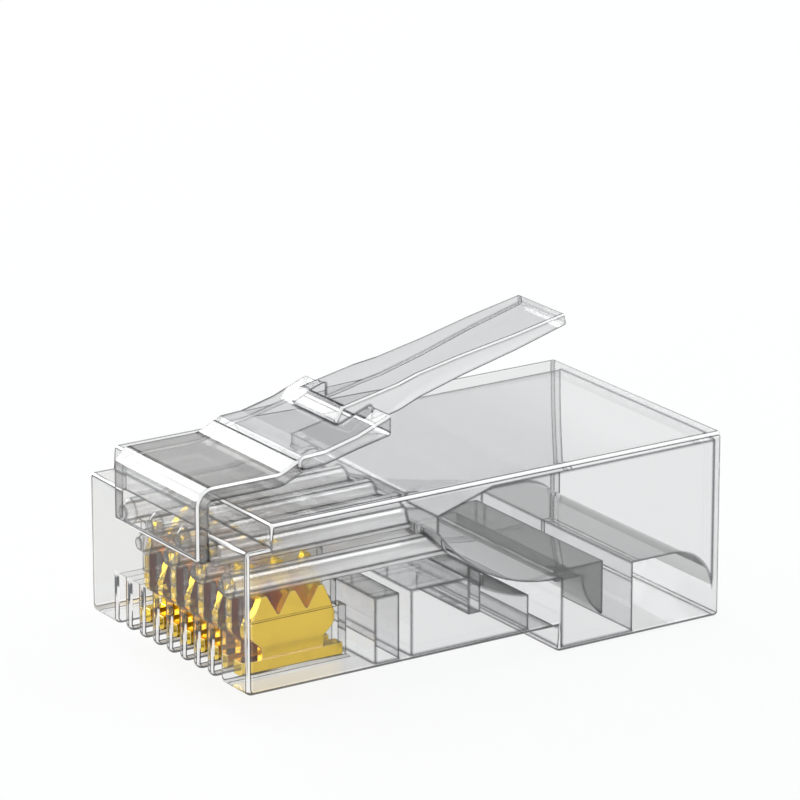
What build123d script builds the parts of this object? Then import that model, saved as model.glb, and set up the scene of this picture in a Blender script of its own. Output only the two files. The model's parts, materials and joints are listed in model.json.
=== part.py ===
from build123d import *
import os
from math import atan2, cos, radians, sin, sqrt, tan

os.makedirs("parts", exist_ok=True)

# All sizes are in millimetres. Lengths along the plug are counted from its nose face,
# and heights from its contact face, unless a line says otherwise.

# Body of the plug
body_width = 11.68
body_length = 22.0
body_height = 6.7
body_edge = 0.25
side_wall = 0.55
roof_wall = 0.5
ledge_length = 1.1
ledge_drop = 0.93

# Deep block at the cable end, which hangs below the contact face
step_length = 7.75
step_drop = 1.05

# Contacts and the row of slots in the nose
contact_count = 8
contact_pitch = 1.016
slot_width = 0.62
slot_height = 2.12
slot_rear_gap = 0.15
fin_round = 0.3

# Contact blade on its foot bar
foot_front = 1.15
foot_length = 4.3
foot_width = 0.54
foot_height = 0.56
foot_recess = 0.03
blade_thickness = 0.35
blade_front = 1.4
blade_length = 3.75
blade_waist_inset = 0.5
blade_waist_height = 1.0
blade_shoulder_height = 1.45
blade_round = 0.08
tooth_count = 3
tooth_inset = 0.6
tooth_tip = 0.22
tooth_depth_share = 0.55
tooth_root_share = 0.7
shoulder_round_share = 0.3
tooth_gap_below_bore = 0.1
blade_clearance = 0.05

# Wire bores, in two staggered rows
bore_diameter = 1.05
bore_front_wall = 0.3
bore_tip_length = 0.35
bore_tip_width = 0.5
upper_row_depth = 2.0
row_spacing = 1.0

# Funnel that leads the wires from the cable space into the bores
funnel_start = 8.9
funnel_headroom = 0.2
funnel_roof_angle = 16.7

# Cable space
floor_height = 1.8
floor_lead = 0.3
ramp_wall = 0.5
mouth_radius = 1.95

# Hollows in the contact face
hollow_roof_wall = 0.5
relief_front_wall = 0.45
relief_length = 1.1
window_front_wall = 0.55
window_rear_wall = 1.1

# Bar that grips the single wires
wire_clamp_thickness = 0.55
wire_clamp_offset = 2.2
wire_clamp_foot_height = 0.95
wire_clamp_end_gap = 0.5
clamp_clearance = 0.08

# Flap with a claw that grips the cable's jacket
cable_window_front_wall = 0.47
cable_window_length = 3.4
cable_clamp_side_gap = 0.85
cable_clamp_plate = 0.45
cable_clamp_rear_gap = 0.84
cable_clamp_claw_root = 1.0
cable_clamp_claw_length = 1.75
cable_clamp_claw_tip = 0.12

# Latch strap, an arch that rises from the nose and bends at a living hinge
strap_width = 6.2
strap_thickness = 0.58
strap_sink = 0.1
strap_edge = 0.08
strap_root_drop = 0.92
strap_gap = 0.28
strap_bend = 0.45
strap_level_length = 3.3
strap_rise_bend = 1.0
hinge_run = 1.06
hinge_rise = 0.5
hinge_clearance = 0.045

# Latch, whose runs and rises are counted from the middle of the hinge
latch_flat_run = 0.95
latch_flat_rise = 0.05
latch_flat_bend = 1.0
hook_run = 2.44
hook_rise = 0.41
hook_length = 1.5
hook_top_rise = 1.29
hook_face_height = 0.88
lever_run = 2.62
lever_rise = 1.39
lever_angle = 11.25
lever_length = 10.61
lever_width = 3.25
lever_waist_width = 2.9
lever_waist_start = 3.6
lever_waist_end = 5.6
lever_tip_straight = 2.5
lever_root_thickness = 1.12
lever_tip_thickness = 0.5
lever_knee = 2.3
lever_nose = 0.45
lever_nose_height = 0.65
lever_waist_lead = 1.0
lever_edge = 0.12

# How far a cutting shape runs past the face that it opens
overrun = 1.0

# Derived places
strap_proud = strap_thickness - strap_sink
overall_length = body_length + strap_proud
nose_y = strap_proud - overall_length / 2
inner_width = body_width - 2 * side_wall
roof_height = body_height - roof_wall
upper_row_height = body_height - upper_row_depth
lower_row_height = upper_row_height - row_spacing
bore_radius = bore_diameter / 2
bore_start = bore_front_wall + bore_tip_length
step_front = body_length - step_length
ramp_foot = step_front + floor_lead
ramp_run = ramp_foot - funnel_start
ramp_rise = upper_row_height - floor_height
ramp_radius = (ramp_run**2 + ramp_rise**2) / (2 * ramp_rise)
ramp_centre = floor_height + ramp_radius
funnel_apex = upper_row_height + bore_radius + funnel_headroom
funnel_roof_end = funnel_start + (roof_height - funnel_apex) / tan(radians(funnel_roof_angle))
slot_length = foot_front + foot_length + slot_rear_gap
hollow_height = lower_row_height - bore_radius - hollow_roof_wall
relief_front = slot_length + relief_front_wall
window_front = relief_front + relief_length + window_front_wall
window_rear = step_front - window_rear_wall
wire_clamp_middle = window_rear - wire_clamp_offset
wire_clamp_length = inner_width - 2 * wire_clamp_end_gap
cable_window_front = step_front + cable_window_front_wall
cable_window_rear = cable_window_front + cable_window_length
cable_clamp_radius = cable_clamp_plate / 2
cable_clamp_hinge = cable_window_front + clamp_clearance + cable_clamp_radius
cable_clamp_rear = cable_window_rear - cable_clamp_rear_gap
cable_clamp_width = inner_width - 2 * cable_clamp_side_gap
tooth_pitch = (blade_length - 2 * tooth_inset) / (tooth_count - 1)
short_blade_top = lower_row_height - bore_radius - tooth_gap_below_bore
tooth_depth = tooth_depth_share * (short_blade_top - blade_shoulder_height)
tooth_root_drop = tooth_root_share * (short_blade_top - blade_shoulder_height)
shoulder_round = shoulder_round_share * (short_blade_top - blade_shoulder_height)
strap_radius = strap_thickness / 2
strap_root_height = body_height - ledge_drop - strap_root_drop
strap_height = body_height + strap_gap + strap_radius
hinge_position = strap_level_length + hinge_run
hinge_height = strap_height + hinge_rise
hook_start = hinge_position + hook_run
hook_start_height = hinge_height + hook_rise
hook_rear = hook_start + hook_length
hook_top_height = hinge_height + hook_top_rise
lever_start = hinge_position + lever_run
lever_start_height = hinge_height + lever_rise

# Planes whose origin lies on the nose face, at the level of the contact face
side = Plane(origin=(0, nose_y, step_drop), x_dir=(0, 1, 0), z_dir=(1, 0, 0))
front = Plane(origin=(0, nose_y, step_drop), x_dir=(1, 0, 0), z_dir=(0, -1, 0))
level = Plane(origin=(0, nose_y, step_drop), x_dir=(1, 0, 0), z_dir=(0, 0, 1))

numbers = range(1, contact_count + 1)


def contact_x(number):
    """Place of a contact across the plug, counted from 1."""
    return (number - (contact_count + 1) / 2) * contact_pitch


def row_height(number):
    """Height of a contact's wire bore: odd contacts serve the upper row, even ones the lower."""
    return upper_row_height if number % 2 else lower_row_height


def ramp_height(distance, wall=0.0):
    """Height of the wire ramp, or of its underside, at a distance from the nose."""
    return ramp_centre - sqrt((ramp_radius + wall) ** 2 - (ramp_foot - distance) ** 2)


def tooth_points(top):
    """Points of a blade's saw-toothed edge, from its front tooth to its rear one."""
    points = []
    for tooth in range(tooth_count):
        middle = blade_front + tooth_inset + tooth * tooth_pitch
        points.append((middle - tooth_tip / 2, top))
        points.append((middle + tooth_tip / 2, top))
        if tooth < tooth_count - 1:
            points.append((middle + tooth_pitch / 2, top - tooth_depth))
    return points


def side_edges(builder):
    """Edges that bound the two end faces of a shape drawn from the side."""
    end_faces = builder.faces().filter_by(Axis.X).sort_by(Axis.X)
    return end_faces[0].edges() + end_faces[-1].edges()


# Fixed part of the latch strap, from its root on the nose to the seat of its living hinge
with BuildPart() as strap_arch:
    with BuildSketch(side):
        with BuildLine():
            FilletPolyline(
                (strap_sink - strap_radius, strap_root_height),
                (strap_sink - strap_radius, strap_height),
                (strap_level_length, strap_height),
                (hinge_position, hinge_height),
                radius=[strap_bend, strap_rise_bend],
            )
            offset(amount=strap_radius)
        make_face()
    extrude(amount=strap_width / 2, both=True)
    chamfer(side_edges(strap_arch), strap_edge)
    with BuildSketch(side):
        with Locations((hinge_position, hinge_height)):
            Circle(strap_radius + hinge_clearance)
    extrude(amount=strap_width / 2, both=True, mode=Mode.SUBTRACT)

# Cable space with its funnel and bell mouth, a solid that is taken out of other pieces
with BuildPart() as cable_space:
    with BuildSketch(side):
        with BuildLine():
            Polyline(
                (funnel_start, upper_row_height),
                (funnel_start, funnel_apex),
                (funnel_roof_end, roof_height),
                (body_length + overrun, roof_height),
                (body_length + overrun, floor_height - mouth_radius),
                (body_length, floor_height - mouth_radius),
            )
            CenterArc((body_length - mouth_radius, floor_height - mouth_radius), mouth_radius, 0, 90)
            Line((body_length - mouth_radius, floor_height), (ramp_foot, floor_height))
            ThreePointArc(
                (ramp_foot, floor_height),
                ((ramp_foot + funnel_start) / 2, ramp_height((ramp_foot + funnel_start) / 2)),
                (funnel_start, upper_row_height),
            )
        make_face()
    extrude(amount=inner_width / 2, both=True)

# Hollow of the big window, whose roof follows the underside of the wire ramp
roof_meets_ramp = ramp_foot - sqrt((ramp_radius + ramp_wall) ** 2 - (ramp_centre - hollow_height) ** 2)
window_curve_middle = (roof_meets_ramp + window_rear) / 2
with BuildPart() as big_window:
    with BuildSketch(side):
        with BuildLine():
            ThreePointArc(
                (roof_meets_ramp, hollow_height),
                (window_curve_middle, ramp_height(window_curve_middle, ramp_wall)),
                (window_rear, ramp_height(window_rear, ramp_wall)),
            )
            Polyline(
                (window_rear, ramp_height(window_rear, ramp_wall)),
                (window_rear, -overrun),
                (window_front, -overrun),
                (window_front, hollow_height),
                (roof_meets_ramp, hollow_height),
            )
        make_face()
    extrude(amount=inner_width / 2, both=True)

# Housing
with BuildPart() as housing:
    with BuildSketch(side):
        with BuildLine():
            Polyline(
                (0, 0),
                (0, body_height - ledge_drop),
                (ledge_length, body_height - ledge_drop),
                (ledge_length, body_height),
                (body_length, body_height),
                (body_length, -step_drop),
                (step_front, -step_drop),
                (step_front, 0),
                close=True,
            )
        make_face()
    extrude(amount=body_width / 2, both=True)
    fillet(housing.edges().filter_by(Axis.X).group_by(Axis.Y)[0].sort_by(Axis.Z)[0], fin_round)
    fillet(housing.edges().filter_by(Axis.Y), body_edge)

    add(strap_arch.part)

    # Hollows for the cable and in the contact face
    add(cable_space.part, mode=Mode.SUBTRACT)
    add(big_window.part, mode=Mode.SUBTRACT)
    with BuildSketch(level.offset(-overrun)):
        with Locations((0, relief_front + relief_length / 2)):
            Rectangle(inner_width, relief_length)
    extrude(amount=overrun + hollow_height, mode=Mode.SUBTRACT)
    with BuildSketch(level):
        with Locations((0, wire_clamp_middle)):
            Rectangle(wire_clamp_length + 2 * clamp_clearance, wire_clamp_thickness + 2 * clamp_clearance)
    extrude(amount=upper_row_height, mode=Mode.SUBTRACT)
    with BuildSketch(level.offset(-step_drop - overrun)):
        with Locations((0, (cable_window_front + cable_window_rear) / 2)):
            Rectangle(inner_width, cable_window_length)
    extrude(amount=overrun + step_drop + floor_height + clamp_clearance, mode=Mode.SUBTRACT)

    # Contact slots, open at the nose and at the contact face
    with BuildSketch(level.offset(-overrun)):
        with Locations((0, (slot_length - overrun) / 2)):
            with GridLocations(contact_pitch, overrun, contact_count, 1):
                Rectangle(slot_width, slot_length + overrun)
    extrude(amount=overrun + slot_height, mode=Mode.SUBTRACT)

    # Blade slots and the wire bores that they open into
    for number in numbers:
        with BuildSketch(level):
            with Locations((contact_x(number), blade_front + blade_length / 2)):
                Rectangle(blade_thickness + 2 * blade_clearance, blade_length + 2 * blade_clearance)
        extrude(amount=row_height(number), mode=Mode.SUBTRACT)
        with BuildSketch(front.offset(-bore_start)):
            with Locations((contact_x(number), row_height(number))):
                Circle(bore_radius)
        extrude(amount=bore_start - ramp_foot, mode=Mode.SUBTRACT)
        with Locations(front.offset(-bore_start)):
            with Locations((contact_x(number), row_height(number), bore_tip_length / 2)):
                Cone(bore_radius, bore_tip_width / 2, bore_tip_length, mode=Mode.SUBTRACT)

housing.part.label = "housing"
export_step(housing.part, "parts/housing.step")

# Contacts
for number in numbers:
    tooth_top = row_height(number) - bore_radius - tooth_gap_below_bore
    tooth_root = tooth_top - tooth_root_drop
    blade_rear = blade_front + blade_length
    foot_top = foot_recess + foot_height
    with BuildPart() as contact:
        with BuildSketch(side.offset(contact_x(number))) as blade_outline:
            with BuildLine():
                Polyline(
                    (blade_front + blade_waist_inset, foot_recess + foot_height / 2),
                    (blade_front + blade_waist_inset, blade_waist_height),
                    (blade_front, blade_shoulder_height),
                    (blade_front, tooth_root),
                    *tooth_points(tooth_top),
                    (blade_rear, tooth_root),
                    (blade_rear, blade_shoulder_height),
                    (blade_rear - blade_waist_inset, blade_waist_height),
                    (blade_rear - blade_waist_inset, foot_recess + foot_height / 2),
                    close=True,
                )
            make_face()
            shoulders = blade_outline.vertices().filter_by_position(Axis.Y, blade_shoulder_height, tooth_root)
            fillet(shoulders, shoulder_round)
            waist = blade_outline.vertices().filter_by_position(Axis.Y, foot_top, blade_waist_height)
            teeth = blade_outline.vertices().filter_by_position(Axis.Y, tooth_top - tooth_depth, tooth_top)
            fillet(waist + teeth, blade_round)
        extrude(amount=blade_thickness / 2, both=True)
        with BuildSketch(level.offset(foot_recess)):
            with Locations((contact_x(number), foot_front + foot_length / 2)):
                Rectangle(foot_width, foot_length)
        extrude(amount=foot_height)
    contact.part.label = f"contact_{number}"
    export_step(contact.part, f"parts/contact_{number}.step")

# Wire clamp, whose top is flush with the wire ramp
with BuildPart() as wire_clamp:
    with BuildSketch(level.offset(wire_clamp_foot_height)):
        with Locations((0, wire_clamp_middle)):
            Rectangle(wire_clamp_length, wire_clamp_thickness)
    extrude(amount=upper_row_height - wire_clamp_foot_height)
    add(cable_space.part, mode=Mode.SUBTRACT)
wire_clamp.part.label = "wire_clamp"
export_step(wire_clamp.part, "parts/wire_clamp.step")

# Cable clamp: a flap that turns about the round at its front, with a claw at its rear
claw_foot = floor_height - cable_clamp_plate - cable_clamp_claw_length
with BuildPart() as cable_clamp:
    with BuildSketch(side):
        with BuildLine():
            Polyline(
                (cable_clamp_hinge, floor_height),
                (cable_clamp_rear, floor_height),
                (cable_clamp_rear, claw_foot),
                (cable_clamp_rear - cable_clamp_claw_tip, claw_foot),
            )
            Spline(
                (cable_clamp_rear - cable_clamp_claw_tip, claw_foot),
                (cable_clamp_rear - cable_clamp_claw_root, floor_height - cable_clamp_plate),
                tangents=[(-1, 1), (0, 1)],
            )
            Line(
                (cable_clamp_rear - cable_clamp_claw_root, floor_height - cable_clamp_plate),
                (cable_clamp_hinge, floor_height - cable_clamp_plate),
            )
            CenterArc((cable_clamp_hinge, floor_height - cable_clamp_radius), cable_clamp_radius, 90, 180)
        make_face()
    extrude(amount=cable_clamp_width / 2, both=True)
cable_clamp.part.label = "cable_clamp"
export_step(cable_clamp.part, "parts/cable_clamp.step")

# Lever of the latch, drawn on planes that follow its slope
slope = radians(lever_angle)
lever_side = Plane(
    origin=(0, nose_y + lever_start, step_drop + lever_start_height),
    x_dir=(0, cos(slope), sin(slope)),
    z_dir=(1, 0, 0),
)
lever_top = Plane(
    origin=(0, nose_y + lever_start, step_drop + lever_start_height),
    x_dir=(1, 0, 0),
    z_dir=(0, -sin(slope), cos(slope)),
)
with BuildPart() as lever:
    with BuildSketch(lever_side):
        with BuildLine():
            Polyline(
                (0, 0),
                (lever_length, 0),
                (lever_length, -lever_tip_thickness),
                (lever_knee, -lever_root_thickness),
                (0, -lever_root_thickness),
                (-lever_nose, lever_nose_height - lever_root_thickness),
                close=True,
            )
        make_face()
    extrude(amount=lever_width / 2, both=True)
    with BuildSketch(lever_top.offset(overrun)):
        with BuildLine() as lever_outline:
            Polyline(
                (0, -lever_nose),
                (lever_width / 2, -lever_nose),
                (lever_width / 2, lever_waist_start - lever_waist_lead),
                (lever_waist_width / 2, lever_waist_start),
                (lever_waist_width / 2, lever_waist_end),
                (lever_width / 2, lever_length - lever_tip_straight),
                (lever_width / 2, lever_length),
                (0, lever_length),
            )
            mirror(about=Plane.YZ)
        make_face()
    extrude(amount=-lever_root_thickness - 2 * overrun, mode=Mode.INTERSECT)
    fillet(lever.edges().filter_by(lambda edge: edge.length > lever_nose), lever_edge)

# Latch: the strap beyond the hinge, two hooks that widen it, and the lever
strap_slope = atan2(hook_rise - latch_flat_rise, hook_run - latch_flat_run)
across = (strap_radius * sin(strap_slope), strap_radius * cos(strap_slope))
with BuildPart() as latch:
    with BuildSketch(side):
        with BuildLine():
            FilletPolyline(
                (hinge_position, hinge_height),
                (hinge_position + latch_flat_run, hinge_height + latch_flat_rise),
                (hook_start, hook_start_height),
                radius=latch_flat_bend,
            )
            offset(amount=strap_radius)
        make_face()
        with BuildLine():
            Polyline(
                (hook_start - across[0], hook_start_height + across[1]),
                (hook_rear, hook_top_height),
                (hook_rear, hook_top_height - hook_face_height),
                (hook_start + across[0], hook_start_height - across[1]),
                close=True,
            )
        make_face()
    extrude(amount=strap_width / 2, both=True)
    chamfer(side_edges(latch), strap_edge)
    add(lever.part)
latch.part.label = "latch"
export_step(latch.part, "parts/latch.step")
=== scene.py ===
import json
import math

import bmesh
import bpy
import numpy as np
from bpy.props import FloatProperty, FloatVectorProperty, PointerProperty
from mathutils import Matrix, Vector


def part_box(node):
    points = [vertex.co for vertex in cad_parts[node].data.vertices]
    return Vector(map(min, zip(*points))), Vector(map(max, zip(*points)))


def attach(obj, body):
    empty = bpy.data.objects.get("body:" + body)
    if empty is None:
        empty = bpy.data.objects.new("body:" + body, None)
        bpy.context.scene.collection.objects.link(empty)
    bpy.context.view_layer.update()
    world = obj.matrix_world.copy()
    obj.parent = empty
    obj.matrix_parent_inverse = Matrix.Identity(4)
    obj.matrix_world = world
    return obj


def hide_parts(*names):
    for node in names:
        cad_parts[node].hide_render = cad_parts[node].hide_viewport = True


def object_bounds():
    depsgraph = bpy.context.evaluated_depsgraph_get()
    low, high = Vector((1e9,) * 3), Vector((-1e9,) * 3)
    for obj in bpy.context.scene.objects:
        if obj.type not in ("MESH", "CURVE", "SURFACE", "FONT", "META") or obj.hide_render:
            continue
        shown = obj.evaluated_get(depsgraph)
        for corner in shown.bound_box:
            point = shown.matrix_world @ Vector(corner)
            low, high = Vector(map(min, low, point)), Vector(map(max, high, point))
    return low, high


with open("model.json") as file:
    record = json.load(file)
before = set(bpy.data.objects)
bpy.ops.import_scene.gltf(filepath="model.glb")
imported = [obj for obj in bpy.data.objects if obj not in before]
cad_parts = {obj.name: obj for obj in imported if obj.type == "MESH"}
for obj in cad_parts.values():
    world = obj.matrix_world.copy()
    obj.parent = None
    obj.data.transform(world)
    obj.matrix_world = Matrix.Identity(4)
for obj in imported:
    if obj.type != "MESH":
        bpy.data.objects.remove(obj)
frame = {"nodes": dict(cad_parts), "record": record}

bl_info = {
    "name": "Clear modular plug",
    "version": (1, 0, 0),
    "blender": (4, 5, 0),
    "location": "3D View > Sidebar > Plug",
    "description": "Finishes a clear modular plug with moulded plastic and gold-plated contacts",
    "category": "Object",
}

MILLIMETRE = 0.001
CAD_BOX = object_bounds()
HOUSING_LOW, HOUSING_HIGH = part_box("housing")
MOUNTS = {mount["name"]: mount for mount in frame["record"]["mounts"]}
BORES = [mount for mount in MOUNTS.values() if mount["kind"] == "bore"]
CONTACTS = sorted(name for name in frame["nodes"] if name.startswith("contact"))

# Places along the housing. The slide mount lies on its nose, halfway between the contact face and the roof.
NOSE = MOUNTS["jack_insertion"]["pos_m"][1]
NOSE_LEDGE_END = NOSE + 1.1 * MILLIMETRE
CONTACT_ROW_END = NOSE + 5.7 * MILLIMETRE
FUNNEL_START = NOSE + 8.9 * MILLIMETRE
BLOCK_FRONT = NOSE + 14.25 * MILLIMETRE
CABLE_END = HOUSING_HIGH[1]

# Levels of the housing
UNDERSIDE = HOUSING_LOW[2]
CONTACT_FACE = 1.05 * MILLIMETRE
FIN_TOP = CONTACT_FACE + 2.2 * MILLIMETRE
ROOF = 2 * MOUNTS["jack_insertion"]["pos_m"][2] - CONTACT_FACE
LEDGE = ROOF - 0.93 * MILLIMETRE
CABLE_FLOOR_LEVELS = (0.4 * MILLIMETRE, 5.7 * MILLIMETRE)

# Distances in from the housing's sides: the rounds of its long edges end, the slots and the cable space begin
HALF_WIDTH = HOUSING_HIGH[0]
CORNER_INSET = 0.26 * MILLIMETRE
SLOT_INSET = 0.3 * MILLIMETRE
CABLE_SPACE_INSET = 0.5 * MILLIMETRE

# Levels and places where the outer skin of the housing lies, and how near to them a face counts as on them
SKIN_LEVELS = (CONTACT_FACE, LEDGE, ROOF, UNDERSIDE)
SKIN_PLACES = (NOSE, NOSE_LEDGE_END, BLOCK_FRONT, CABLE_END)
NEAR = 0.02 * MILLIMETRE

# The strap lies further than this in front of the nose or above the roof
STRAP_CLEAR = 0.01 * MILLIMETRE

# Limits for one part of a face's normal, which is 1 where the face looks along that axis and 0 where it looks
# across it
SIDEWAYS_SLOPE = (0.05, 0.97)
CORNER_SLOPE = (0.04, 0.999)
ALONG_BORE = 0.1
FACING_UP = 0.2
FACING_DOWN = -0.1
SQUARE = 0.9
END_ON = 0.98

# The middles of a bore's flat faces lie within these shares of its radius
BORE_WALL = (0.9, 1.01)

# Corners nearer than the first are merged, faces that turn by less than the second become one, and an edge is
# sharp from the third on
WELD_DISTANCE = 0.0004 * MILLIMETRE
FLAT_ANGLE = math.radians(0.5)
SHARP_ANGLE = math.radians(32.0)

ROUND_SEGMENTS = 2

# Finishes of the clear pieces, as numbers of their material slots
# The slots of the cable floor, the strap and the lever hold painted shade and painted light in their tints;
# those of the edges, corners, bores and the strap's end hold painted highlights and painted shade.
FACE, EDGE, CORNER, BORE, PAINTED_SHADE, STRAP, LEVER, SLOT, STRAP_END = range(9)


# Sizes and colours that a user would change

class ClearPlasticSettings(bpy.types.PropertyGroup):
    """The clear plastic of the housing, latch and clamps."""

    colour: FloatVectorProperty(
        name="Colour", description="Tint of the plastic",
        default=(0.79, 0.795, 0.80), subtype="COLOR", size=3, min=0, max=1,
    )
    # Painted shade: a dark grey copy of the plastic's tint, put on the cable floor and its clamp for the
    # shade and dark reflections seen there.
    painted_shade_colour: FloatVectorProperty(
        name="Painted shade colour", description="Painted shade: a darker tint on the cable floor and its clamp",
        default=(0.28, 0.28, 0.275), subtype="COLOR", size=3, min=0, max=1,
    )
    # Painted shade: a darker copy of the plastic's tint, put on the strap for the shade it shows.
    strap_painted_shade_colour: FloatVectorProperty(
        name="Strap colour", description="Painted shade on the latch strap, as a darker tint",
        default=(0.40, 0.40, 0.39), subtype="COLOR", size=3, min=0, max=1,
    )
    # Painted shade: the dark lines along the edges stand in for the dark refraction at the plastic's edges.
    painted_line_colour: FloatVectorProperty(
        name="Line colour", description="Tint of the thin dark line along each edge",
        default=(0.012, 0.013, 0.016), subtype="COLOR", size=3, min=0, max=1,
    )
    line_width: FloatProperty(
        name="Line width", description="Width of the thin dark line along each edge",
        default=0.0002, min=0, unit="LENGTH", precision=6,
    )
    edge_width: FloatProperty(
        name="Edge width", description="Width of the round along each outer edge",
        default=0.00014, min=0, unit="LENGTH", precision=6,
    )
    # Painted highlight: the rounded edges are made milky white for the white highlight along them.
    edge_painted_highlight: FloatProperty(
        name="Edge milk", description="How far the rounded edges are painted milky white, as a painted highlight",
        default=0.85, min=0, max=1, subtype="FACTOR",
    )
    bending: FloatProperty(
        name="Index of refraction", description="How strongly the plastic bends light",
        default=1.04, min=1, max=2,
    )
    roughness: FloatProperty(
        name="Roughness", description="Haze of the polished faces",
        default=0.0, min=0, max=1, subtype="FACTOR",
    )
    flow_mark_height: FloatProperty(
        name="Flow mark height", description="Height of the faint waves left by moulding",
        default=0.000001, min=0, unit="LENGTH", precision=6,
    )
    flow_mark_length: FloatProperty(
        name="Flow mark length", description="Spacing of the faint waves left by moulding",
        default=0.004, min=0.0001, unit="LENGTH", precision=4,
    )


class GoldPlatingSettings(bpy.types.PropertyGroup):
    """The gold plating of the contacts."""

    colour: FloatVectorProperty(
        name="Colour", description="Colour of the plating",
        default=(0.92, 0.63, 0.05), subtype="COLOR", size=3, min=0, max=1,
    )
    # Painted highlight: a paler gold along the contacts' rims.
    rim_painted_highlight_colour: FloatVectorProperty(
        name="Rim painted highlight", description="Colour of the painted highlight along the rims",
        default=(1.0, 0.86, 0.42), subtype="COLOR", size=3, min=0, max=1,
    )
    dark_colour: FloatVectorProperty(
        name="Dark colour", description="Colour of the plating where it is thin",
        default=(0.62, 0.38, 0.03), subtype="COLOR", size=3, min=0, max=1,
    )
    roughness: FloatProperty(
        name="Roughness", description="Roughness of the stamped faces",
        default=0.18, min=0, max=1, subtype="FACTOR",
    )
    grain_length: FloatProperty(
        name="Grain length", description="Length of the rolling marks",
        default=0.0006, min=0.00001, unit="LENGTH", precision=5,
    )


class StageSettings(bpy.types.PropertyGroup):
    """Floor and lamps."""

    floor_colour: FloatVectorProperty(
        name="Floor colour", description="Colour of the floor and of what lies beyond it",
        default=(0.97, 0.975, 0.975), subtype="COLOR", size=3, min=0, max=1,
    )
    floor_reach: FloatProperty(
        name="Floor reach", description="Half the width of the floor",
        default=3.0, min=0.1, unit="LENGTH",
    )
    key_power: FloatProperty(
        name="Key power", description="Power of the large lamp overhead",
        default=0.12, min=0, unit="POWER",
    )
    fill_power: FloatProperty(
        name="Fill power", description="Power of the lamp beside the camera",
        default=0.06, min=0, unit="POWER",
    )
    strip_power: FloatProperty(
        name="Strip power", description="Power of the wide lamp on the left, which the strap's bend shows",
        default=1.3, min=0, unit="POWER",
    )
    rear_power: FloatProperty(
        name="Rear power", description="Power of the high lamp behind, which the upper edges show",
        default=0.2, min=0, unit="POWER",
    )


# Node helpers

def new_material(name):
    """An empty node material, its tree to fill, and its output."""
    material = bpy.data.materials.new(name)
    material.use_nodes = True
    tree = material.node_tree
    tree.nodes.clear()
    return material, tree, tree.nodes.new("ShaderNodeOutputMaterial")


def add_node(tree, kind, inputs=None, **settings):
    """Adds a node, sets its properties, and sets or links its inputs by name or number."""
    node = tree.nodes.new(kind)
    for key, value in settings.items():
        setattr(node, key, value)
    for key, value in (inputs or {}).items():
        if isinstance(value, bpy.types.NodeSocket):
            tree.links.new(value, node.inputs[key])
        else:
            node.inputs[key].default_value = value
    return node


def calculate(tree, operation, first, second):
    """One value from two, by an operation of the Math node."""
    return add_node(tree, "ShaderNodeMath", {0: first, 1: second}, operation=operation).outputs[0]


def fade(tree, value, start, end, low=0.0, high=1.0):
    """Goes from low to high while a value goes from start to end, and stays level before and after."""
    return add_node(tree, "ShaderNodeMapRange", {
        "Value": value, "From Min": start, "From Max": end, "To Min": low, "To Max": high,
    }).outputs["Result"]


def blend(tree, share, first, second):
    """The first colour where the share is 0, and the second where it is 1."""
    colours = {0: share, 6: first, 7: second}
    return add_node(tree, "ShaderNodeMix", colours, data_type="RGBA").outputs[2]


def noise(tree, place, scale, detail, roughness):
    """Soft random waves, of so many to the metre."""
    return add_node(tree, "ShaderNodeTexNoise", {
        "Vector": place, "Scale": scale, "Detail": detail, "Roughness": roughness,
    }).outputs["Fac"]


def ramp_of(tree, value, stops):
    """The colour that a ramp with these positions and colours gives a value."""
    ramp = add_node(tree, "ShaderNodeValToRGB", {0: value})
    elements = ramp.color_ramp.elements
    elements.remove(elements[1])
    elements[0].position, elements[0].color = stops[0][0], (*stops[0][1], 1)
    for position, colour in stops[1:]:
        elements.new(position).color = (*colour, 1)
    return ramp.outputs["Color"]


def rounded_normal(tree, width, samples=6):
    """The normal that the faces would have if each edge were rounded over this width."""
    return add_node(tree, "ShaderNodeBevel", {"Radius": width}, samples=samples).outputs["Normal"]


def edge_mask(tree, rounded, start, end):
    """Rises from 0 to 1 while the cosine between the rounded and the flat normal falls from start to end."""
    flat = add_node(tree, "ShaderNodeNewGeometry").outputs["Normal"]
    turn = add_node(tree, "ShaderNodeVectorMath", {0: rounded, 1: flat}, operation="DOT_PRODUCT")
    return fade(tree, turn.outputs["Value"], start, end)


# Clear plastic

BLACK, WHITE = (0, 0, 0), (1, 1, 1)

# The near-white tint of edges, bores and slots, which is a painted highlight where edges and bores are milky,
# and how much paler than the walls the lever is, as painted light
NEAR_WHITE = (0.97, 0.97, 0.97)
LEVER_PALER = 1.06

# Each shade is the share of the tint that is kept at a slant, from 0 where a face is seen straight on to 1
# where it is seen edge on: the walls darken at a slant as painted shade. The round bores go light and dark by
# turns, painted highlights and painted shade in place of the streaks that refraction draws in clear rods.
WALL_SHADES = [(0.0, 1.0), (0.7, 1.0), (0.95, 0.6)]
BORE_PAINTED_STREAKS = [
    (0.0, 1.0), (0.26, 1.0), (0.31, 0.12), (0.38, 0.12), (0.44, 1.0), (0.64, 1.0), (0.74, 0.12), (1.0, 0.1),
]

COAT_ROUGHNESS = 0.03

# Cosines between which the dark line along an edge of a flat face, a painted shade, comes in
LINE_COSINES = (0.997, 0.96)

# On a rounded edge, how softly its dark lines and the dark of its down-facing part, both painted shade, come
# in
LINE_SOFTNESS = 0.03
DOWN_SOFTNESS = 0.15

# A rounded edge is milky white, a painted highlight, down to this upward part of its normal, and below it has
# painted shade. The strap's lower end is milky all the way.
PAINTED_HIGHLIGHT_DOWN_TO = -0.25
ALWAYS_PAINTED_HIGHLIGHT = -1.0

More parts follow.
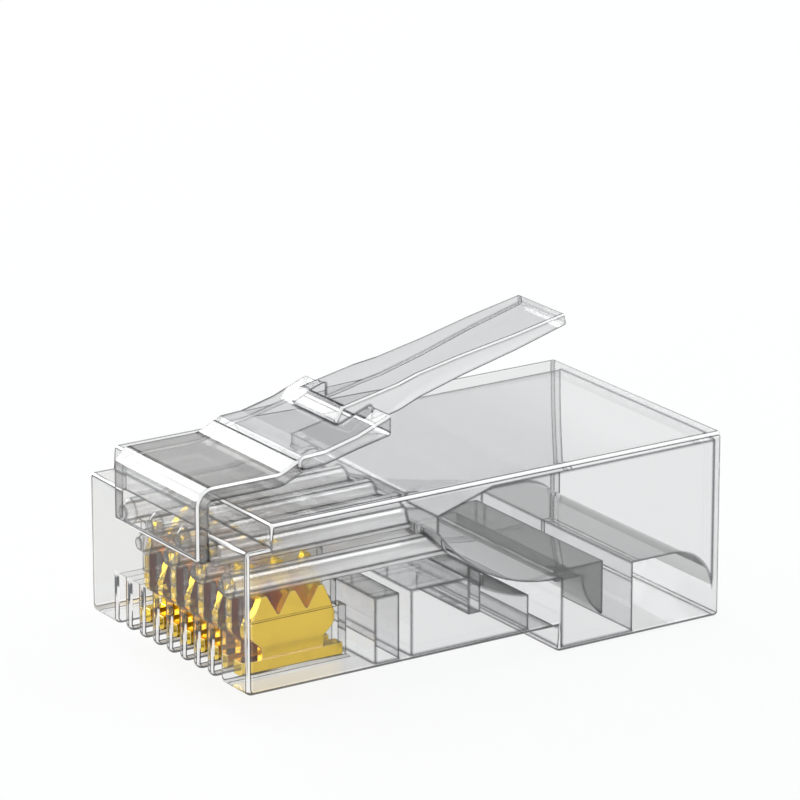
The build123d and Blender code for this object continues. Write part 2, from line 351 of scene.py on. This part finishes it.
# The bores are clearer near the nose, up to the first of these places, and milky white, a painted highlight,
# from the second on
CLEAR_UP_TO = NOSE + 3.0 * MILLIMETRE
PAINTED_HIGHLIGHT_FROM = NOSE + 6.5 * MILLIMETRE
NOSE_CLEARNESS = 0.85


def crest_of_round(tree, lowest):
    """Two values of a rounded edge. One is how far it faces along an axis, as the flat sides beside it do:
    the largest part of the normal, which is 1 at a flat side and 0.707 on the crest. The other is 1, and goes
    to 0 where the upward part of the normal falls below the lowest."""
    normal = add_node(tree, "ShaderNodeTexCoord").outputs["Normal"]
    size = add_node(tree, "ShaderNodeVectorMath", {0: normal}, operation="ABSOLUTE")
    parts = add_node(tree, "ShaderNodeSeparateXYZ", {0: size.outputs["Vector"]}).outputs
    level = calculate(tree, "MAXIMUM", parts["X"], parts["Y"])
    towards = calculate(tree, "MAXIMUM", level, parts["Z"])
    rise = add_node(tree, "ShaderNodeSeparateXYZ", {0: normal}).outputs["Z"]
    return towards, fade(tree, rise, lowest - DOWN_SOFTNESS, lowest)


def lines_and_crest(tree, crest, painted_highlight_share, lowest):
    """The dark lines of a rounded edge, which are painted shade, and how clear the rest of it is. The lines
    lie on each side of a milky middle, a painted highlight, where the edge faces along an axis by an amount
    between the two in crest. It is also dark, as painted shade, where it faces down past the lowest."""
    towards, above = crest_of_round(tree, lowest)
    start, end = crest
    sides = ramp_of(tree, towards, [
        (start, BLACK), (start + LINE_SOFTNESS, WHITE), (end, WHITE), (end + LINE_SOFTNESS, BLACK),
    ])
    below = calculate(tree, "SUBTRACT", 1.0, above)
    line = calculate(tree, "MAXIMUM", sides, below)
    middle = fade(tree, towards, start, start + LINE_SOFTNESS, painted_highlight_share, 0.0)
    painted_highlight_cover = calculate(tree, "MULTIPLY", middle, above)
    return line, calculate(tree, "SUBTRACT", 1.0, painted_highlight_cover)


def clear_plastic(name, settings, colour, gloss, painted_highlight_share=0.0, shades=WALL_SHADES, crest=None, clear_nose=False,
                  with_painted_lines=True, lowest=PAINTED_HIGHLIGHT_DOWN_TO):
    """Clear moulded plastic: its tint changes with the slant it is seen at, as painted shade, and it has
    faint flow marks. A flat face has a thin dark line of painted shade along each edge, unless it is made
    without lines. A finish with a crest is that of the rounded edges, with a milky middle of painted
    highlight between two dark lines of painted shade."""
    material, tree, output = new_material(name)
    place = add_node(tree, "ShaderNodeTexCoord").outputs["Object"]
    slant = add_node(tree, "ShaderNodeLayerWeight", {"Blend": 0.5}).outputs["Facing"]
    tint = ramp_of(tree, slant, [(at, [share * part for part in colour]) for at, share in shades])
    line, clear = None, 1.0 - painted_highlight_share
    if clear_nose:
        along = add_node(tree, "ShaderNodeSeparateXYZ", {0: place}).outputs["Y"]
        clear = fade(tree, along, CLEAR_UP_TO, PAINTED_HIGHLIGHT_FROM, NOSE_CLEARNESS, 1.0 - painted_highlight_share)
    if crest:
        line, clear = lines_and_crest(tree, crest, painted_highlight_share, lowest)
    elif with_painted_lines:
        line = edge_mask(tree, rounded_normal(tree, settings.line_width), *LINE_COSINES)
    # Painted shade: the dark lines along the edges darken the tint.
    if line is not None:
        tint = blend(tree, line, tint, (*settings.painted_line_colour, 1))
    flow_marks = add_node(tree, "ShaderNodeBump", {
        "Height": noise(tree, place, 1 / settings.flow_mark_length, detail=2.0, roughness=0.4),
        "Strength": 1.0, "Distance": settings.flow_mark_height,
    }).outputs["Normal"]
    surface = add_node(tree, "ShaderNodeBsdfPrincipled", {
        "Base Color": tint, "Roughness": settings.roughness, "IOR": settings.bending,
        "Coat Weight": 1.0, "Coat IOR": gloss, "Coat Roughness": COAT_ROUGHNESS, "Transmission Weight": clear,
        "Normal": flow_marks, "Coat Normal": flow_marks,
    })
    tree.links.new(surface.outputs["BSDF"], output.inputs["Surface"])
    return material


def plastics(settings):
    """The nine finishes of the clear plastic, made once, in the order of their slots. The gloss is the index
    of refraction of the clear coat that makes the shine."""
    rounded = dict(colour=NEAR_WHITE, gloss=1.8, painted_highlight_share=settings.edge_painted_highlight)
    # Painted light: the lever gets a paler copy of the walls' tint.
    lever_painted_light_colour = [LEVER_PALER * share for share in settings.colour]
    kinds = {
        "moulded_plastic": dict(colour=settings.colour, gloss=1.5),
        "moulded_edge": dict(rounded, crest=(0.90, 1.0)),
        "moulded_corner": dict(rounded, crest=(0.87, 0.94)),
        "bore_plastic": dict(colour=NEAR_WHITE, gloss=2.4, painted_highlight_share=0.75, shades=BORE_PAINTED_STREAKS, clear_nose=True),
        "thick_plastic": dict(colour=settings.painted_shade_colour, gloss=1.5),
        "strap_plastic": dict(colour=settings.strap_painted_shade_colour, gloss=2.0),
        "lever_plastic": dict(colour=lever_painted_light_colour, gloss=1.5),
        "slot_plastic": dict(colour=NEAR_WHITE, gloss=1.3, with_painted_lines=False),
        "strap_end": dict(rounded, crest=(0.93, 1.0), lowest=ALWAYS_PAINTED_HIGHLIGHT),
    }
    return [
        bpy.data.materials.get(name) or clear_plastic(name, settings, **kind) for name, kind in kinds.items()
    ]


# Gold plating

# How many times finer the rolling marks are along X, Y and Z than along the contact, which lies along Y
MARK_FINENESS = (12.0, 1.0, 8.0)
MARK_DEPTH = 0.004 * MILLIMETRE
MARK_STRENGTH = 0.05

# The thin, darker patches: how many to the metre, where in the noise they start and are full, and how dark
PATCH_SCALE = 900.0
PATCH_START, PATCH_FULL = 0.48, 0.72
PATCH_DARKNESS = 0.2

# The pale rims, a painted highlight: their width, and the cosines between which they come in
RIM_WIDTH = 0.05 * MILLIMETRE
RIM_COSINES = (0.99, 0.9)

# While the noise of the marks goes between the first two values, the roughness goes between two shares of its
# setting
GLOSS_NOISE = (0.3, 0.7)
GLOSS_SHARES = (0.7, 1.4)


def gold_plating(settings):
    """Gold plating on stamped copper: rolling marks along the contact, thin darker patches and pale rims,
    which are a painted highlight.
    """
    material, tree, output = new_material("gold_plating")
    place = add_node(tree, "ShaderNodeTexCoord").outputs["Object"]
    drawn = add_node(tree, "ShaderNodeMapping", {"Vector": place, "Scale": MARK_FINENESS}).outputs["Vector"]
    marks = noise(tree, drawn, 1 / settings.grain_length, detail=4.0, roughness=0.6)
    patches = noise(tree, place, PATCH_SCALE, detail=3.0, roughness=0.55)
    thin = fade(tree, patches, PATCH_START, PATCH_FULL, 0.0, PATCH_DARKNESS)
    plated = blend(tree, thin, (*settings.colour, 1), (*settings.dark_colour, 1))
    rounded = rounded_normal(tree, RIM_WIDTH)
    rims = edge_mask(tree, rounded, *RIM_COSINES)
    gloss = fade(tree, marks, *GLOSS_NOISE, *(settings.roughness * share for share in GLOSS_SHARES))
    bump = add_node(tree, "ShaderNodeBump", {
        "Height": marks, "Strength": MARK_STRENGTH, "Distance": MARK_DEPTH, "Normal": rounded,
    })
    # Painted highlight: the rims are blended to a paler gold.
    surface = add_node(tree, "ShaderNodeBsdfPrincipled", {
        "Base Color": blend(tree, rims, plated, (*settings.rim_painted_highlight_colour, 1)), "Metallic": 1.0,
        "Roughness": gloss, "Normal": bump.outputs["Normal"],
    })
    tree.links.new(surface.outputs["BSDF"], output.inputs["Surface"])
    return material


# Finishes of the faces

def between(value, limits):
    """Whether a value lies between two limits."""
    return limits[0] < value < limits[1]


def on_strap(y, z):
    """Whether a place of the housing is on the strap, in front of the nose or above the roof."""
    return y < NOSE - STRAP_CLEAR or z > ROOF + STRAP_CLEAR


def strap_finish(y, normal):
    """The finish of one face of the strap that springs from the nose: its sloping sides are rounded edges,
    and its lower end has its own."""
    if between(abs(normal.x), SIDEWAYS_SLOPE):
        return EDGE
    if y < NOSE and normal.z < FACING_DOWN and -END_ON < normal.y < 0:
        return STRAP_END
    return FACE if abs(normal.y) > END_ON else STRAP


def on_bore(x, z, normal):
    """Whether a place of the housing is on the round wall of a wire bore."""
    for bore in BORES:
        across = math.hypot(x - bore["pos_m"][0], z - bore["pos_m"][2])
        radius = bore["dims"]["r_mm"] * MILLIMETRE
        if between(across / radius, BORE_WALL) and abs(normal.y) < ALONG_BORE:
            return True
    return False


def housing_finish(centre, normal):
    """The finish of one face of the housing, from the place of its middle and the way it faces."""
    x, y, z = centre
    inset = HALF_WIDTH - abs(x)
    if on_strap(y, z):
        return strap_finish(y, normal)
    if on_bore(x, z, normal):
        return BORE
    if inset < CORNER_INSET and between(abs(normal.x), CORNER_SLOPE):
        return CORNER
    if y < CONTACT_ROW_END and inset > SLOT_INSET and abs(normal.x) > SQUARE:
        return SLOT
    in_cable_space = y > FUNNEL_START and inset > CABLE_SPACE_INSET
    # The cable floor takes the painted shade finish.
    if in_cable_space and normal.z > FACING_UP and between(z, CABLE_FLOOR_LEVELS):
        return PAINTED_SHADE
    return FACE


def latch_finish(centre, normal):
    """The finish of one face of the latch: its sloping sides are rounded edges."""
    return EDGE if between(abs(normal.x), SIDEWAYS_SLOPE) else LEVER


def on_skin(face):
    """Whether a face of the housing is part of its outer skin or of a fin between the contact slots."""
    if face.material_index in (EDGE, BORE, PAINTED_SHADE, STRAP_END):
        return False
    x, y, z = face.calc_center_median()
    on_side = HALF_WIDTH - abs(x) < NEAR or face.material_index == CORNER
    on_fin = z < FIN_TOP and y < CONTACT_ROW_END
    if on_side or on_fin or on_strap(y, z):
        return True
    level = abs(face.normal.z) > SQUARE and any(abs(z - height) < NEAR for height in SKIN_LEVELS)
    upright = abs(face.normal.y) > SQUARE and any(abs(y - place) < NEAR for place in SKIN_PLACES)
    return level or upright


def on_lever(face):
    """Whether a face of the latch is not one of its sloping sides."""
    return face.material_index == LEVER


# Finished pieces

def weigh_edges(shell, is_outer):
    """Gives each sharp outward edge between two outer faces a bevel weight of 1."""
    weights = shell.edges.layers.float.new("bevel_weight_edge")
    for edge in shell.edges:
        outward = len(edge.link_faces) == 2 and edge.is_convex and edge.calc_face_angle() > SHARP_ANGLE
        if outward and all(is_outer(face) for face in edge.link_faces):
            edge[weights] = 1.0


def welded_copy(node, finish=None, is_outer=None):
    """A copy of a CAD node's mesh with its corners merged, smooth over curves and sharp at true edges. Its
    slots are cleared first, because that sets every face back to the first slot."""
    mesh = frame["nodes"][node].data.copy()
    mesh.name = f"{node}_welded"
    mesh.materials.clear()
    shell = bmesh.new()
    shell.from_mesh(mesh)
    bmesh.ops.remove_doubles(shell, verts=shell.verts, dist=WELD_DISTANCE)
    for face in shell.faces:
        face.material_index = finish(face.calc_center_median(), face.normal) if finish else 0
    bmesh.ops.dissolve_limit(
        shell, angle_limit=FLAT_ANGLE, verts=shell.verts, edges=shell.edges, delimit={"MATERIAL"},
    )
    if is_outer:
        weigh_edges(shell, is_outer)
    shell.to_mesh(mesh)
    shell.free()
    if mesh.has_custom_normals:
        mesh.attributes.remove(mesh.attributes["custom_normal"])
    mesh.polygons.foreach_set("use_smooth", np.ones(len(mesh.polygons), dtype=bool))
    mesh.set_sharp_from_angle(angle=SHARP_ANGLE)
    mesh.update()
    return mesh


def dress(node, materials, finish=None, is_outer=None, edge_width=0.0):
    """Puts a welded copy of a CAD node in its place, with its finishes, on the node's own body."""
    mesh = welded_copy(node, finish, is_outer)
    for material in materials:
        mesh.materials.append(material)
    piece = bpy.data.objects.new(f"{node}_finished", mesh)
    bpy.context.scene.collection.objects.link(piece)
    if edge_width:
        rounds = piece.modifiers.new("rounded_edges", "BEVEL")
        rounds.limit_method = "WEIGHT"
        rounds.width = edge_width
        rounds.segments = ROUND_SEGMENTS
        rounds.use_clamp_overlap = False
        rounds.harden_normals = True
        rounds.material = EDGE
    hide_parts(node)
    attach(piece, node)


# Operators, one for each piece or group of like pieces

class PLUG_OT_housing(bpy.types.Operator):
    """Finish the clear housing"""

    bl_idname = "plug.housing"
    bl_label = "Housing"

    def execute(self, context):
        settings = context.scene.plug_plastic
        dress("housing", plastics(settings), housing_finish, on_skin, settings.edge_width)
        return {"FINISHED"}


class PLUG_OT_latch(bpy.types.Operator):
    """Finish the clear latch"""

    bl_idname = "plug.latch"
    bl_label = "Latch"

    def execute(self, context):
        settings = context.scene.plug_plastic
        dress("latch", plastics(settings), latch_finish, on_lever, settings.edge_width)
        return {"FINISHED"}


class PLUG_OT_clamps(bpy.types.Operator):
    """Finish the wire clamp and the cable clamp"""

    bl_idname = "plug.clamps"
    bl_label = "Clamps"

    def execute(self, context):
        materials = plastics(context.scene.plug_plastic)
        dress("wire_clamp", [materials[FACE]])
        # The cable clamp takes the painted shade finish.
        dress("cable_clamp", [materials[PAINTED_SHADE]])
        return {"FINISHED"}


class PLUG_OT_contacts(bpy.types.Operator):
    """Finish the gold-plated contacts"""

    bl_idname = "plug.contacts"
    bl_label = "Contacts"

    def execute(self, context):
        gold = gold_plating(context.scene.plug_gold)
        for node in CONTACTS:
            dress(node, [gold])
        return {"FINISHED"}


# Stage

# The floor lies this far below the plug, so that no two faces share a plane
FLOOR_GAP = 0.02 * MILLIMETRE

# How far the floor shows its plain colour, and not the light on it, where the camera sees it
FLOOR_GLOW = 0.92

# The sky by height, from 0 at the horizon to 1 overhead: pale up to the first, dim between the second and the
# third, and white from the fourth on
SKY_HEIGHTS = (0.36, 0.42, 0.62, 0.8)
DIM_LOW = (0.08, 0.08, 0.09)
DIM_HIGH = (0.12, 0.12, 0.13)

# Where each lamp stands, its width and its depth, in metres, and where all of them look
LAMPS = {
    "key": ((-0.05, -0.12, 0.30), 0.25, 0.18),
    "fill": ((0.30, -0.05, 0.16), 0.12, 0.20),
    "strip": ((-0.32, -0.08, 0.15), 0.32, 0.26),
    "rear": ((0.12, 0.21, 0.32), 0.14, 0.14),
}
LAMP_AIM = (0.0, 0.0, 0.005)

CAMERA_PLACE = (0.169952, -0.111293, 0.073745)
CAMERA_AIM = (-0.001267, 0.000737, 0.008956)
CAMERA_LENS = 245.8
CAMERA_SENSOR = 36.0
CAMERA_REACH = (0.001, 20.0)

# How rays are followed: sharp gloss, and enough passes for light to get through all the clear walls
RAY_SETTINGS = {
    "blur_glossy": 0.0, "max_bounces": 24, "transmission_bounces": 24, "glossy_bounces": 8,
    "transparent_max_bounces": 24,
}


def aim(thing, target):
    """Turns a lamp or camera so that its -Z looks at the target, with its Y up."""
    thing.rotation_euler = (Vector(target) - thing.location).to_track_quat("-Z", "Y").to_euler()


def seen_directly(tree):
    """1 for rays that come from the camera, or from a clear or glossy surface, and else 0."""
    path = add_node(tree, "ShaderNodeLightPath").outputs
    straight = calculate(tree, "MAXIMUM", path["Is Camera Ray"], path["Is Transmission Ray"])
    return calculate(tree, "MAXIMUM", straight, path["Is Glossy Ray"])


def make_floor(settings):
    """A wide pale floor. It takes light and shadow, and where it is seen directly it is mostly plain."""
    level = CAD_BOX[0][2] - FLOOR_GAP
    square = np.array([(-1, -1, 0), (1, -1, 0), (1, 1, 0), (-1, 1, 0)])
    corners = square * settings.floor_reach + (0, 0, level)
    mesh = bpy.data.meshes.new("floor")
    mesh.from_pydata(corners.tolist(), [], [(0, 1, 2, 3)])
    floor = bpy.data.objects.new("floor", mesh)
    bpy.context.scene.collection.objects.link(floor)
    material, tree, output = new_material("pale_floor")
    pale = (*settings.floor_colour, 1)
    matt = add_node(tree, "ShaderNodeBsdfDiffuse", {"Color": pale})
    glow = add_node(tree, "ShaderNodeEmission", {"Color": pale, "Strength": 1.0})
    share = calculate(tree, "MULTIPLY", seen_directly(tree), FLOOR_GLOW)
    mixed = add_node(tree, "ShaderNodeMixShader", {0: share, 1: matt.outputs[0], 2: glow.outputs[0]})
    tree.links.new(mixed.outputs[0], output.inputs["Surface"])
    mesh.materials.append(material)


def make_sky(settings):
    """The studio around the plug: the floor's colour for the camera, and bands for all other rays."""
    world = bpy.data.worlds.new("studio")
    world.use_nodes = True
    tree = world.node_tree
    tree.nodes.clear()
    output = tree.nodes.new("ShaderNodeOutputWorld")
    direction = add_node(tree, "ShaderNodeTexCoord").outputs["Generated"]
    height = add_node(tree, "ShaderNodeSeparateXYZ", {0: direction}).outputs["Z"]
    pale = tuple(settings.floor_colour)
    pale_up_to, dim_from, dim_up_to, white_from = SKY_HEIGHTS
    bands = ramp_of(tree, height, [
        (0.0, pale), (pale_up_to, pale), (dim_from, DIM_LOW), (dim_up_to, DIM_HIGH), (white_from, WHITE),
    ])
    camera_ray = add_node(tree, "ShaderNodeLightPath").outputs["Is Camera Ray"]
    colour = blend(tree, camera_ray, bands, (*pale, 1))
    sky = add_node(tree, "ShaderNodeBackground", {"Color": colour, "Strength": 1.0})
    tree.links.new(sky.outputs[0], output.inputs["Surface"])
    bpy.context.scene.world = world


def make_lamp(name, place, width, depth, power):
    """A rectangular soft lamp that looks at the plug."""
    data = bpy.data.lights.new(name, "AREA")
    data.shape = "RECTANGLE"
    data.size = width
    data.size_y = depth
    data.energy = power
    thing = bpy.data.objects.new(name, data)
    thing.location = place
    bpy.context.scene.collection.objects.link(thing)
    aim(thing, LAMP_AIM)


def make_camera():
    """The camera at the photograph's viewing angle."""
    data = bpy.data.cameras.new("camera")
    data.lens = CAMERA_LENS
    data.sensor_width = CAMERA_SENSOR
    data.sensor_fit = "HORIZONTAL"
    data.clip_start, data.clip_end = CAMERA_REACH
    camera = bpy.data.objects.new("camera", data)
    camera.location = CAMERA_PLACE
    bpy.context.scene.collection.objects.link(camera)
    aim(camera, CAMERA_AIM)
    bpy.context.scene.camera = camera


class PLUG_OT_stage(bpy.types.Operator):
    """Make the floor, the lights and the camera"""

    bl_idname = "plug.stage"
    bl_label = "Stage"

    def execute(self, context):
        scene = context.scene
        make_floor(scene.plug_stage)
        make_sky(scene.plug_stage)
        for name, (place, width, depth) in LAMPS.items():
            make_lamp(name, place, width, depth, getattr(scene.plug_stage, f"{name}_power"))
        make_camera()
        scene.view_settings.view_transform = "Standard"
        for name, value in RAY_SETTINGS.items():
            setattr(scene.cycles, name, value)
        return {"FINISHED"}


class PLUG_PT_pieces(bpy.types.Panel):
    """Lists the plug's pieces and their settings"""

    bl_idname = "PLUG_PT_pieces"
    bl_label = "Plug"
    bl_space_type = "VIEW_3D"
    bl_region_type = "UI"
    bl_category = "Plug"

    def draw(self, context):
        for operator in OPERATORS:
            self.layout.operator(operator.bl_idname)
        for group in SETTINGS:
            box = self.layout.box()
            values = getattr(context.scene, group)
            for name in values.__annotations__:
                box.prop(values, name)


SETTINGS = {
    "plug_plastic": ClearPlasticSettings,
    "plug_gold": GoldPlatingSettings,
    "plug_stage": StageSettings,
}
OPERATORS = (PLUG_OT_housing, PLUG_OT_latch, PLUG_OT_clamps, PLUG_OT_contacts, PLUG_OT_stage)


def register():
    for group in SETTINGS.values():
        bpy.utils.register_class(group)
    for operator in OPERATORS:
        bpy.utils.register_class(operator)
    bpy.utils.register_class(PLUG_PT_pieces)
    for name, group in SETTINGS.items():
        setattr(bpy.types.Scene, name, PointerProperty(type=group))


def unregister():
    for name in SETTINGS:
        delattr(bpy.types.Scene, name)
    bpy.utils.unregister_class(PLUG_PT_pieces)
    for operator in reversed(OPERATORS):
        bpy.utils.unregister_class(operator)
    for group in SETTINGS.values():
        bpy.utils.unregister_class(group)


def main():
    register()
    bpy.ops.plug.housing()
    bpy.ops.plug.latch()
    bpy.ops.plug.clamps()
    bpy.ops.plug.contacts()
    bpy.ops.plug.stage()


if __name__ == "__main__":
    main()
